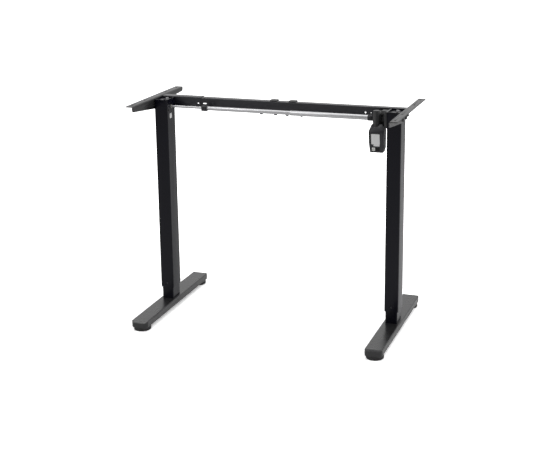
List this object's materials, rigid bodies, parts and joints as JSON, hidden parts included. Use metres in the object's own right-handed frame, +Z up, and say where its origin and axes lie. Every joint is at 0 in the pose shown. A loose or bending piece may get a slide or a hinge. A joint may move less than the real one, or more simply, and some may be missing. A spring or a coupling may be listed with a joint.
{
  "type": "standing desk frame",
  "caption": "Black height adjustable desk frame: telescopic columns on flat feet, a side motor, a silver drive rod, an extending crossbeam and L brackets.",
  "frame": {"origin": "on the floor, midway between the two columns and midway along the feet", "axes": "+X along the crossbeam towards the motor, +Y towards the back, where the crossbeam is, +Z up"},
  "size_m": [0.871, 0.516, 0.72],
  "materials": {
    "foot_paint": "fine textured black powder coat",
    "column_paint": "fine textured black powder coat",
    "beam_paint": "fine textured black powder coat",
    "bracket_paint": "fine textured black powder coat",
    "cap_plastic": "black moulded",
    "pad_rubber": "black moulded",
    "cover_plastic": "black moulded",
    "glide_plastic": "natural white moulded",
    "nut_plastic": "cream moulded",
    "socket_plastic": "white moulded",
    "black_screws": "black oxide",
    "collar_steel": "black oxide",
    "raw_steel": "turned steel",
    "gear_steel": "sintered steel",
    "plated_steel": "bright zinc plate",
    "cast_alloy": "black painted die casting"
  },
  "bodies": {
    "left_foot": {"left_foot_bar": "foot_paint", "left_foot_end_caps": "cap_plastic", "left_foot_bolts": "black_screws", "left_inner_tube": "column_paint", "left_upper_glides": "glide_plastic", "left_nut_tube": "raw_steel", "left_drive_nut": "nut_plastic"},
    "left_front_pad": {"left_front_level_pad": "pad_rubber"},
    "left_back_pad": {"left_back_level_pad": "pad_rubber"},
    "left_head": {"left_outer_tube": "column_paint", "left_lower_glides": "cover_plastic", "left_gear_head": "cast_alloy", "left_gear_head_cover": "cover_plastic", "left_screw_bearing": "raw_steel", "left_side_bracket": "bracket_paint", "left_head_bolts": "black_screws", "beam_sleeve": "beam_paint", "beam_lock_screws": "black_screws"},
    "left_screw": {"left_lead_screw": "raw_steel", "left_screw_gear": "gear_steel"},
    "left_bar": {"left_hex_bar": "plated_steel", "left_bar_gear": "gear_steel"},
    "right_head": {"right_outer_tube": "column_paint", "right_lower_glides": "cover_plastic", "right_gear_head": "cast_alloy", "right_gear_head_cover": "cover_plastic", "right_screw_bearing": "raw_steel", "right_side_bracket": "bracket_paint", "right_head_bolts": "black_screws", "beam_rail": "beam_paint", "desk_top_lugs": "bracket_paint", "hanging_studs": "black_screws", "rod_hanger": "cover_plastic", "motor_mount_plate": "bracket_paint", "motor_gearbox": "cast_alloy", "gearbox_side_cover": "cast_alloy", "gearbox_cap": "cover_plastic", "motor_can": "raw_steel", "motor_cover": "cover_plastic", "motor_socket": "socket_plastic", "motor_screws": "black_screws"},
    "drive_shaft": {"thin_drive_tube": "plated_steel", "thick_drive_tube": "plated_steel", "tube_set_screws": "black_screws", "shaft_collar": "collar_steel", "right_hex_bar": "plated_steel", "worm_wheel": "nut_plastic", "right_bar_gear": "gear_steel"},
    "worm": {"worm_shaft": "raw_steel"},
    "right_screw": {"right_lead_screw": "raw_steel", "right_screw_gear": "gear_steel"},
    "right_foot": {"right_foot_bar": "foot_paint", "right_foot_end_caps": "cap_plastic", "right_foot_bolts": "black_screws", "right_inner_tube": "column_paint", "right_upper_glides": "glide_plastic", "right_nut_tube": "raw_steel", "right_drive_nut": "nut_plastic"},
    "right_front_pad": {"right_front_level_pad": "pad_rubber"},
    "right_back_pad": {"right_back_level_pad": "pad_rubber"}
  },
  "joints": [
    {"name": "lift", "type": "slide", "parent": "left_foot", "child": "left_head", "axis": [0, 0, 1], "range_m": [0, 0.45]},
    {"name": "width_slide", "type": "slide", "parent": "left_head", "child": "right_head", "axis": [1, 0, 0], "range_m": [0, 0.06]},
    {"name": "right_lift", "type": "slide", "parent": "right_head", "child": "right_foot", "axis": [0, 0, -1], "range_m": [0, 0.45]},
    {"name": "left_screw_turn", "type": "hinge", "parent": "left_head", "child": "left_screw", "pos_m": [-0.387, 0, 0.69], "axis": [0, 0, 1], "range_deg": [0, 16201]},
    {"name": "left_bar_turn", "type": "hinge", "parent": "left_head", "child": "left_bar", "pos_m": [-0.387, 0, 0.69], "axis": [1, 0, 0], "range_deg": [0, 16201]},
    {"name": "drive_shaft_turn", "type": "hinge", "parent": "right_head", "child": "drive_shaft", "pos_m": [0.387, 0, 0.69], "axis": [1, 0, 0], "range_deg": [0, 16201]},
    {"name": "right_screw_turn", "type": "hinge", "parent": "right_head", "child": "right_screw", "pos_m": [0.387, 0, 0.69], "axis": [0, 0, 1], "range_deg": [-16201, 0]},
    {"name": "worm_turn", "type": "hinge", "parent": "right_head", "child": "worm", "pos_m": [0.331, -0.023, 0.69], "axis": [0, 0, 1], "range_deg": [0, 243010]},
    {"name": "left_front_pad_adjust", "type": "slide", "parent": "left_foot", "child": "left_front_pad", "axis": [0, 0, -1], "range_m": [0, 0.008]},
    {"name": "left_back_pad_adjust", "type": "slide", "parent": "left_foot", "child": "left_back_pad", "axis": [0, 0, -1], "range_m": [0, 0.008]},
    {"name": "right_front_pad_adjust", "type": "slide", "parent": "right_foot", "child": "right_front_pad", "axis": [0, 0, -1], "range_m": [0, 0.008]},
    {"name": "right_back_pad_adjust", "type": "slide", "parent": "right_foot", "child": "right_back_pad", "axis": [0, 0, -1], "range_m": [0, 0.008]}
  ],
  "couplings": [
    {"joint": "right_lift", "follows": "lift", "ratio": 1},
    {"joint": "left_screw_turn", "follows": "lift", "rad_per_m": 628.32},
    {"joint": "left_bar_turn", "follows": "lift", "rad_per_m": 628.32},
    {"joint": "drive_shaft_turn", "follows": "lift", "rad_per_m": 628.32},
    {"joint": "right_screw_turn", "follows": "lift", "rad_per_m": -628.32},
    {"joint": "worm_turn", "follows": "lift", "rad_per_m": 9424.8}
  ]
}
